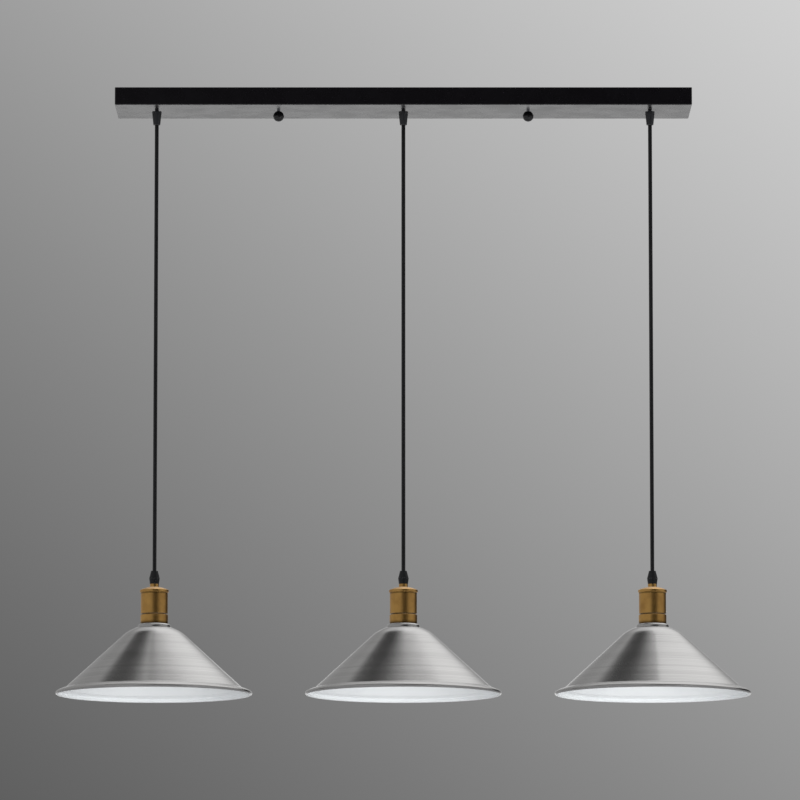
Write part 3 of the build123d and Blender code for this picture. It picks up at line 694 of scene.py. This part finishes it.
@dataclass
class SpunShade:
    """A spun conical shade: seat ring, domed shoulder, straight cone and a lip with a rolled bead.

    Attributes:
        name: which pendant it belongs to.
        x: the pendant's place along the bar.
        top: height of the seat.
        height: from the rim to the seat.
        sheet: thickness of the metal.
        hole: radius of the hole for the holder's sleeve.
        seat: radius of the raised seat ring.
        seat_step: height of that ring.
        seat_round: radius of its upper edge.
        shoulder: radius where the domed shoulder meets the cone.
        shoulder_height: height of that above the rim.
        shoulder_rise: how far the dome stands out of its chord.
        lip: radius where the cone meets the lip.
        lip_height: height of that above the rim.
        lip_rise: how far the lip stands out of its chord.
        lip_angle: where the lip meets the bead, in degrees from level.
        rim: outer radius at the bead.
        bead: radius of the rolled bead.
        segments: how many flats its circles have.
        seat_turn: degrees between the points of the seat's rounded edge.
        foot_steps: how many steps the straight foot of the seat ring has.
        dome_steps: how many the shoulder has.
        cone_steps: how many the cone has.
        lip_steps: how many the lip has.
        support_mm: how far above the lip's kink the last point of the cone lies, to keep it crisp.
        bead_turn: degrees between the points of the bead.
        bead_end: where the bead's points stop, in degrees from level.
        bare_bead: how many of the bead's points come before the enamel.
        bead_room: how near the enamelled side comes to the bead's centre, in radii of the bead.
        crease: edges sharper than this angle in degrees stay sharp.
    """

    name: str
    x: float
    top: float = -0.712
    height: float = 0.094
    sheet: float = 0.001
    hole: float = 0.0167
    seat: float = 0.0215
    seat_step: float = 0.0044
    seat_round: float = 0.0032
    shoulder: float = 0.0387
    shoulder_height: float = 0.0809
    shoulder_rise: float = 0.0007
    lip: float = 0.1176
    lip_height: float = 0.0087
    lip_rise: float = 0.0004
    lip_angle: float = 61.0
    rim: float = 0.130
    bead: float = 0.0023
    segments: int = 224
    seat_turn: int = 10
    foot_steps: int = 3
    dome_steps: int = 14
    cone_steps: int = 20
    lip_steps: int = 12
    support_mm: float = 0.6
    bead_turn: int = 12
    bead_end: int = -208
    bare_bead: int = 11
    bead_room: float = 1.05
    crease: float = 40.0

    def outside(self) -> list[ProfilePoint]:
        """The metal side of the section: radius and height above the rim, from the hole to the bead."""
        foot = (self.seat, self.height - self.seat_step)
        knee = (self.shoulder, self.shoulder_height)
        kink = (self.lip, self.lip_height)
        turn = math.radians(self.lip_angle)
        reach = self.rim - self.bead + self.bead * math.cos(turn)
        touch = (reach, self.bead + self.bead * math.sin(turn))
        inner = self.seat - self.seat_round
        points = [(self.hole, self.height)]
        for degrees in range(90, -1, -self.seat_turn):
            turn = math.radians(degrees)
            drop = self.seat_round * (1 - math.sin(turn))
            points.append((inner + self.seat_round * math.cos(turn), self.height - drop))
        points += self.arc(points[-1], foot, 0.0, self.foot_steps)[1:]
        points += self.arc(foot, knee, self.shoulder_rise, self.dome_steps)[1:]
        up_cone = (Vector(knee) - Vector(kink)).normalized()
        support = tuple(Vector(kink) + up_cone * mm(self.support_mm))
        points += self.arc(knee, support, 0.0, self.cone_steps)[1:] + [kink]
        return points + self.arc(kink, touch, self.lip_rise, self.lip_steps)[1:]

    def arc(
        self, start: ProfilePoint, end: ProfilePoint, rise: float, count: int
    ) -> list[ProfilePoint]:
        """Points from start to end that stand out of their chord by rise, upwards and outwards."""
        chord = Vector(end) - Vector(start)
        side = Vector((-chord.y, chord.x)).normalized()
        shares = [i / count for i in range(count + 1)]
        return [tuple(Vector(start) + chord * t + side * rise * (1 - (2 * t - 1) ** 2)) for t in shares]

    def section(self) -> tuple[list[ProfilePoint], int]:
        """The shade's whole closed section.

        Returns:
            Its points, outside first, then round the bead and back along the inside, and the number
            of the first point whose wall is enamelled.
        """
        outside = self.outside()
        centre = Vector((self.rim - self.bead, self.bead))
        bead = []
        first = int(self.lip_angle) - self.bead_turn
        for degrees in range(first, self.bead_end, -self.bead_turn):
            turn = math.radians(degrees)
            bead.append(tuple(centre + Vector((math.cos(turn), math.sin(turn))) * self.bead))
        inside = []
        for i in range(len(outside) - 1, 0, -1):
            after = outside[min(i + 1, len(outside) - 1)]
            way = (Vector(after) - Vector(outside[i - 1])).normalized()
            point = Vector(outside[i]) + Vector((way.y, -way.x)) * self.sheet
            if (point - centre).length > self.bead * self.bead_room:
                inside.append(tuple(point))
        inside.append((self.hole, self.height - self.sheet))
        return outside + bead + inside, len(outside) + self.bare_bead

    def build(self, paint: Paint) -> Object:
        """Builds the shade, metal outside and enamel inside, in place of its CAD node.

        Args:
            paint: the materials.

        Returns:
            The shade's object.
        """
        points, enamel_from = self.section()
        count = len(points)
        rim_height = self.top - self.height
        reach = [0.0]
        for here, following in zip(points, points[1:] + points[:1]):
            reach.append(reach[-1] + math.dist(here, following))
        vertices, faces, uvs, enamelled = [], [], [], []
        for s in range(self.segments):
            turn = 2 * math.pi * s / self.segments + math.pi / 2
            cosine, sine = math.cos(turn), math.sin(turn)
            vertices += [(self.x + r * cosine, r * sine, rim_height + z) for r, z in points]
            ahead = (s + 1) % self.segments
            u0, u1 = s / self.segments, (s + 1) / self.segments
            for p in range(count):
                q = (p + 1) % count
                faces.append((s * count + p, s * count + q, ahead * count + q, ahead * count + p))
                uvs += [(u0, reach[p]), (u0, reach[p + 1]), (u1, reach[p + 1]), (u1, reach[p])]
                enamelled.append(int(enamel_from <= p < count - 1))
        name = f"spun_shade_{self.name}"
        mesh = bpy.data.meshes.new(name)
        mesh.from_pydata(vertices, [], faces)
        layer = mesh.uv_layers.new(name="profile")
        layer.data.foreach_set("uv", [c for uv in uvs for c in uv])
        mesh.materials.append(paint.of(SPUN_METAL))
        mesh.materials.append(paint.of(SHADE_ENAMEL))
        mesh.polygons.foreach_set("material_index", enamelled)
        shade = link(bpy.data.objects.new(name, mesh))
        smooth(shade, self.crease)
        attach(shade, f"lamp_{self.name}")
        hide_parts(f"shade_{self.name}")
        log.info("%s: %d faces", name, len(faces))
        return shade


@dataclass
class ScrewShell:
    """The rolled E27 screw shell of a lamp socket.

    Attributes:
        name: which pendant it belongs to.
        x: the pendant's place along the bar.
        bottom: height of its lower edge.
        length: its height.
        crest: radius at the thread's crests.
        depth: how far the thread's roots stand in.
        pitch: rise of one turn.
        wall: thickness of the brass.
        around: how many points lie round it, both ends of the seam counted.
        upwards: how many points lie along its height.
        weld: how near the seam's points are when they become one.
    """

    name: str
    x: float
    bottom: float = -0.7245
    length: float = 0.0215
    crest: float = 0.0135
    depth: float = 0.0009
    pitch: float = 0.00362
    wall: float = 0.0003
    around: int = 97
    upwards: int = 61
    weld: float = 1e-6

    def tree(self, material: Material) -> Tree:
        """The Geometry Nodes tree that rolls the thread into a tube.

        Args:
            material: the brass that the tree sets.

        Returns:
            The tree, with an input for each size.
        """
        sizes = {
            "Crest": self.crest,
            "Depth": self.depth,
            "Pitch": self.pitch,
            "Length": self.length,
            "Bottom": self.bottom,
            "X": self.x,
        }
        tree, given, out = new_tree(f"rolled_shell_{self.name}", sizes)
        size = given.outputs
        inputs = {
            "Size X": 2 * math.pi,
            "Size Y": size["Length"],
            "Vertices X": self.around,
            "Vertices Y": self.upwards,
        }
        grid = add_node(tree, "GeometryNodeMeshGrid", None, inputs)
        place = add_node(tree, "GeometryNodeInputPosition").outputs[0]
        parts = add_node(tree, "ShaderNodeSeparateXYZ", None, {0: place})
        turn = parts.outputs["X"]
        half = calculate(tree, "MULTIPLY", size["Length"], 0.5)
        rise = calculate(tree, "ADD", parts.outputs["Y"], half)
        wave = calculate(tree, "MULTIPLY", calculate(tree, "DIVIDE", rise, size["Pitch"]), 2 * math.pi)
        wave = calculate(tree, "COSINE", calculate(tree, "SUBTRACT", wave, turn))
        share = calculate(tree, "MULTIPLY_ADD", wave, 0.5, -0.5)
        radius = calculate(tree, "MULTIPLY_ADD", share, size["Depth"], size["Crest"])
        x = calculate(tree, "MULTIPLY_ADD", calculate(tree, "COSINE", turn), radius, size["X"])
        y = calculate(tree, "MULTIPLY", calculate(tree, "SINE", turn), radius)
        z = calculate(tree, "ADD", rise, size["Bottom"])
        rolled = add_node(tree, "ShaderNodeCombineXYZ", None, {0: x, 1: y, 2: z}).outputs[0]
        inputs = {"Geometry": grid.outputs["Mesh"], "Position": rolled}
        tube = add_node(tree, "GeometryNodeSetPosition", None, inputs)
        inputs = {"Geometry": tube.outputs[0], "Distance": self.weld}
        closed = add_node(tree, "GeometryNodeMergeByDistance", None, inputs)
        finish_tree(tree, closed.outputs[0], out, material)
        return tree

    def build(self, paint: Paint) -> Object:
        """Builds the shell in place of its plain CAD tube.

        Args:
            paint: the materials.

        Returns:
            The screw shell's object.
        """
        brass = paint.of(BRIGHT_BRASS)
        shell = from_tree(f"rolled_screw_shell_{self.name}", self.tree(brass), {"X": self.x}, [brass])
        solid = shell.modifiers.new("wall", "SOLIDIFY")
        solid.thickness = self.wall
        solid.offset = -1.0
        for polygon in shell.data.polygons:
            polygon.use_smooth = True
        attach(shell, f"lamp_{self.name}")
        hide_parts(f"screw_shell_{self.name}")
        log.info("rolled_screw_shell_%s: E27 thread", self.name)
        return shell


@dataclass
class Rivets:
    """Domed rivet heads that hold the centre contact in its chamber.

    Attributes:
        name: which pendant they belong to.
        x: the pendant's place along the bar.
        height: height of the contact plate's underside.
        spacing: distance between the two heads.
        radius: radius of a head.
        flatness: its height as a share of a whole ball's.
        segments: how many flats lie round it.
        rings: how many lie from pole to pole.
    """

    name: str
    x: float
    height: float = -0.7001
    spacing: float = 0.0144
    radius: float = 0.0013
    flatness: float = 0.45
    segments: int = 20
    rings: int = 10

    def tree(self, material: Material) -> Tree:
        """The tree that sets a flattened head on each point of a short line."""
        sizes = {"X": self.x, "Height": self.height, "Spacing": self.spacing, "Radius": self.radius}
        tree, given, out = new_tree(f"contact_rivets_{self.name}", sizes)
        size = given.outputs
        half = calculate(tree, "MULTIPLY", size["Spacing"], 0.5)
        ends = []
        for operation in ("SUBTRACT", "ADD"):
            inputs = {0: calculate(tree, operation, size["X"], half), 2: size["Height"]}
            ends.append(add_node(tree, "ShaderNodeCombineXYZ", None, inputs).outputs[0])
        inputs = {"Count": 2, "Start Location": ends[0], "Offset": ends[1]}
        line = add_node(tree, "GeometryNodeMeshLine", {"mode": "END_POINTS"}, inputs)
        inputs = {"Segments": self.segments, "Rings": self.rings, "Radius": size["Radius"]}
        head = add_node(tree, "GeometryNodeMeshUVSphere", None, inputs)
        inputs = {"Geometry": head.outputs[0], "Scale": (1.0, 1.0, self.flatness)}
        flat = add_node(tree, "GeometryNodeTransform", None, inputs)
        inputs = {"Points": line.outputs[0], "Instance": flat.outputs[0]}
        placed = add_node(tree, "GeometryNodeInstanceOnPoints", None, inputs)
        finish_tree(tree, placed.outputs[0], out, material)
        return tree

    def build(self, paint: Paint) -> Object:
        """Builds the two rivet heads.

        Args:
            paint: the materials.

        Returns:
            The rivets' object.
        """
        brass = paint.of(BRIGHT_BRASS)
        rivets = from_tree(f"contact_rivets_{self.name}", self.tree(brass), {"X": self.x}, [brass])
        smooth(rivets)
        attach(rivets, f"lamp_{self.name}")
        log.info("contact_rivets_%s: two heads", self.name)
        return rivets


@dataclass
class Lampholder:
    """The brass lampholder with its grip, its socket and the ring that holds the shade.

    Attributes:
        name: which pendant it belongs to.
        x: the pendant's place along the bar.
    """

    name: str
    x: float
    finishes: ClassVar[dict[str, Finish]] = {
        "holder_cap": ANTIQUE_BRASS,
        "holder_shell": ANTIQUE_BRASS,
        "holder_skirt": ANTIQUE_BRASS,
        "shade_ring": ANTIQUE_BRASS,
        "holder_grip_body": GRIP_NYLON,
        "holder_grip_nut": GRIP_NYLON,
        "socket_core": STEATITE,
        "socket_contacts": BRIGHT_BRASS,
        "holder_leads": CORE_SILICONE,
    }

    def build(self, frame: dict, paint: Paint) -> None:
        """Dresses the holder's CAD nodes and builds its screw shell and rivets.

        None of them leaves a mirror image on the shade, whose brushed metal shows none.

        Args:
            paint: the materials.
        """
        for node, finish in self.finishes.items():
            dress(frame, f"{node}_{self.name}", paint.of(finish), mirrored=False)
        for piece in (ScrewShell(self.name, self.x), Rivets(self.name, self.x)):
            piece.build(paint).visible_glossy = False


@dataclass
class Canopy:
    """The bar canopy with its bracket, studs, ball nuts, cord grips and wiring."""

    finishes: ClassVar[dict[str, Finish]] = {
        "canopy_tray": CANOPY_LACQUER,
        "ceiling_bracket": ZINC,
        "bracket_studs": ZINC,
        "stud_locknuts": ZINC,
        "grip_locknuts": ZINC,
        "earth_post": ZINC,
        "tail_cores": CORE_SILICONE,
        "terminal_block": POLYAMIDE,
        "terminal_pad": FOAM,
        "terminal_inserts": BRIGHT_BRASS,
        "terminal_screws": ZINC,
        "earth_lead": EARTH_PVC,
    }

    def build(self, frame: dict, paint: Paint) -> None:
        """Dresses the canopy's CAD nodes.

        Its ball nuts and grips leave no mirror image on the underside.

        Args:
            paint: the materials.
        """
        for node, finish in self.finishes.items():
            dress(frame, node, paint.of(finish))
        for side in ("left", "right"):
            dress(frame, f"ball_nut_{side}", paint.of(BALL_LACQUER), mirrored=False)
        for name in PENDANTS:
            for grip in ("canopy_grip_body", "canopy_grip_nut"):
                # The canopy's grips take the lighter copy of the nylon, painted light from the floor.
                dress(frame, f"{grip}_{name}", paint.of(FLOOR_LIT_GRIP_NYLON), mirrored=False)
            dress(frame, f"cord_tail_{name}", paint.of(CORD_PVC))


@dataclass(frozen=True)
class Glow:
    """One soft patch of the studio's surroundings.

    Attributes:
        towards: the direction in which it lies.
        spread: its angle from middle to edge, in degrees.
        light: what it adds to the surroundings' brightness, or takes away.
    """

    towards: Point
    spread: float
    light: float


@dataclass(frozen=True)
class Panel:
    """One soft light that shines on the pendants and that nothing mirrors.

    Attributes:
        name: the light's name.
        place: where it hangs.
        size: the side of its square.
        power: its power in watts.
    """

    name: str
    place: Point
    size: float
    power: float

    def hang(self, target: Point) -> None:
        """Hangs the light and turns it to a point."""
        data = bpy.data.lights.new(self.name, "AREA")
        data.size = self.size
        data.energy = self.power
        panel = link(bpy.data.objects.new(self.name, data))
        panel.location = self.place
        aim = Vector(target) - Vector(self.place)
        panel.rotation_euler = aim.to_track_quat("-Z", "Y").to_euler()
        panel.visible_glossy = False


@dataclass(frozen=True)
class Backdrop:
    """The lit backdrop behind the front view: brighter to the right and upwards, and levelling off.

    Attributes:
        upwards: how fast the light's logarithm, before it levels off, rises with the direction's Z.
        rightwards: how fast it rises with the direction's X.
        level: that logarithm where X and Z are zero.
        highest: where the logarithm stops rising.
        most: the light at which it levels off.
        inner: within this angle of the front view the backdrop shows in full, in degrees.
        outer: past this one the plain surroundings show.
    """

    upwards: float = 9.96
    rightwards: float = 7.94
    level: float = -2.228
    highest: float = 0.5
    most: float = 0.8
    inner: float = 6.0
    outer: float = 9.0

    def light(self, tree: Tree, way: Socket) -> Socket:
        """The backdrop's light in the direction that is looked at."""
        parts = add_node(tree, "ShaderNodeSeparateXYZ", None, {0: way})
        slope = calculate(tree, "MULTIPLY_ADD", parts.outputs["Z"], self.upwards, self.level)
        slope = calculate(tree, "MULTIPLY_ADD", parts.outputs["X"], self.rightwards, slope)
        rising = calculate(tree, "EXPONENT", calculate(tree, "MINIMUM", slope, self.highest))
        left = calculate(tree, "EXPONENT", calculate(tree, "MULTIPLY", rising, -1 / self.most))
        return calculate(tree, "MULTIPLY_ADD", left, -self.most, self.most)


@dataclass
class Studio:
    """Camera, floor, surroundings and lights.

    Attributes:
        camera_place: where the camera stands.
        camera_pitch: how far it looks up, in degrees.
        lens: focal length on a 36 mm sensor, in millimetres.
        floor_height: height of the floor.
        floor_reach: how far the floor goes each way.
        base_light: brightness of the surroundings before their glows.
        least_light: brightness below which they don't go.
        glows: soft patches that the metal reflects.
        backdrop: what the camera sees behind the front view.
        panels: the soft lights for the shades' insides.
        panels_aim: the point that the soft lights turn to.
    """

    camera_place: Point = (-0.0045, -8.161, -1.490)
    camera_pitch: float = 7.52
    lens: float = 278.4
    floor_height: float = -1.78
    floor_reach: float = 6.0
    base_light: float = 0.34
    least_light: float = 0.006
    glows: tuple[Glow, ...] = (
        Glow((0.29, 0.44, 0.85), 45.0, 0.80),
        Glow((0.0, 0.98, 0.19), 11.0, 0.50),
        Glow((0.0, 0.99, -0.13), 18.0, 0.60),
        Glow((0.0, -0.5, 0.86), 22.0, 0.25),
        Glow((-0.22, 0.34, 0.91), 18.0, -0.80),
        Glow((0.24, -0.96, 0.13), 38.0, -0.33),
        Glow((0.70, 0.70, 0.13), 32.0, -0.34),
    )
    backdrop: Backdrop = Backdrop()
    panels: tuple[Panel, ...] = (
        Panel("right_panel", (2.0, -2.4, -1.45), 1.2, 40.0),
        Panel("under_panel", (0.3, -0.7, -1.70), 1.8, 12.5),
        Panel("left_panel", (-1.6, -1.6, -1.45), 0.8, 9.0),
    )
    panels_aim: Point = (0.0, 0.0, -0.75)

    def build(self) -> None:
        """Builds the whole studio."""
        self.place_camera()
        self.lay_floor()
        self.light_surroundings()
        for panel in self.panels:
            panel.hang(self.panels_aim)
        bpy.context.scene.view_settings.view_transform = "Standard"

    def place_camera(self) -> None:
        """Puts the camera at the picture's viewing angle."""
        data = bpy.data.cameras.new("camera")
        data.lens = self.lens
        data.sensor_width = 36.0
        data.clip_end = 100.0
        camera = link(bpy.data.objects.new("camera", data))
        camera.location = self.camera_place
        camera.rotation_euler = (math.radians(90 + self.camera_pitch), 0.0, 0.0)
        bpy.context.scene.camera = camera

    def lay_floor(self) -> None:
        """Lays a plain pale floor below the pendants."""
        half = self.floor_reach
        mesh = bpy.data.meshes.new("studio_floor")
        corners = [(-half, -half), (half, -half), (half, half), (-half, half)]
        mesh.from_pydata([(x, y, self.floor_height) for x, y in corners], [], [(0, 1, 2, 3)])
        floor = link(bpy.data.objects.new("studio_floor", mesh))
        paper = Finish("matt_backdrop_paper", "#C9C9CB", "#C4C4C6", roughness=0.9, patch_mm=400.0)
        mesh.materials.append(paper.material())

    def light_surroundings(self) -> None:
        """Gives the world a pale backdrop for the camera and soft glows for the surfaces."""
        world = bpy.data.worlds.new("studio_surroundings")
        bpy.context.scene.world = world
        world.use_nodes = True
        tree = world.node_tree
        tree.nodes.clear()
        way = add_node(tree, "ShaderNodeTexCoord").outputs["Generated"]
        light: float | Socket = self.base_light
        for glow in self.glows:
            share = self.nearness(tree, way, glow.towards, glow.spread, 0.0)
            light = calculate(tree, "MULTIPLY_ADD", share, glow.light, light)
        light = calculate(tree, "MAXIMUM", light, self.least_light)
        pitch = math.radians(self.camera_pitch)
        front = (0.0, math.cos(pitch), math.sin(pitch))
        ahead = self.nearness(tree, way, front, self.backdrop.outer, self.backdrop.inner)
        floats = {"data_type": "FLOAT"}
        inputs = {0: ahead, 2: self.base_light, 3: self.backdrop.light(tree, way)}
        backdrop = add_node(tree, "ShaderNodeMix", floats, inputs).outputs[0]
        seen = add_node(tree, "ShaderNodeLightPath").outputs["Is Camera Ray"]
        level = add_node(tree, "ShaderNodeMix", floats, {0: seen, 2: light, 3: backdrop})
        inputs = {"Color": linear("#FFFFFF"), "Strength": level.outputs[0]}
        ground = add_node(tree, "ShaderNodeBackground", None, inputs)
        out = add_node(tree, "ShaderNodeOutputWorld")
        tree.links.new(ground.outputs[0], out.inputs[0])

    def nearness(
        self, tree: Tree, way: Socket, towards: Point, outer: float, inner: float
    ) -> Socket:
        """One where a direction is within inner degrees of another, and zero past outer degrees."""
        inputs = {0: way, 1: tuple(Vector(towards).normalized())}
        dot = add_node(tree, "ShaderNodeVectorMath", {"operation": "DOT_PRODUCT"}, inputs)
        edge, full = math.cos(math.radians(outer)), math.cos(math.radians(inner))
        return spread(tree, dot.outputs["Value"], edge, full, 0.0, 1.0)


def main() -> None:
    """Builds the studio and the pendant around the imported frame."""
    logging.basicConfig(level=logging.INFO, format="%(message)s")
    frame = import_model()
    paint = Paint.mix()
    Studio().build()
    for name, x in PENDANTS.items():
        Cord(name, x).build(paint).visible_glossy = False
    Canopy().build(frame, paint)
    for name, x in PENDANTS.items():
        Lampholder(name, x).build(frame, paint)
        SpunShade(name, x).build(paint)


if __name__ == "__main__":
    main()
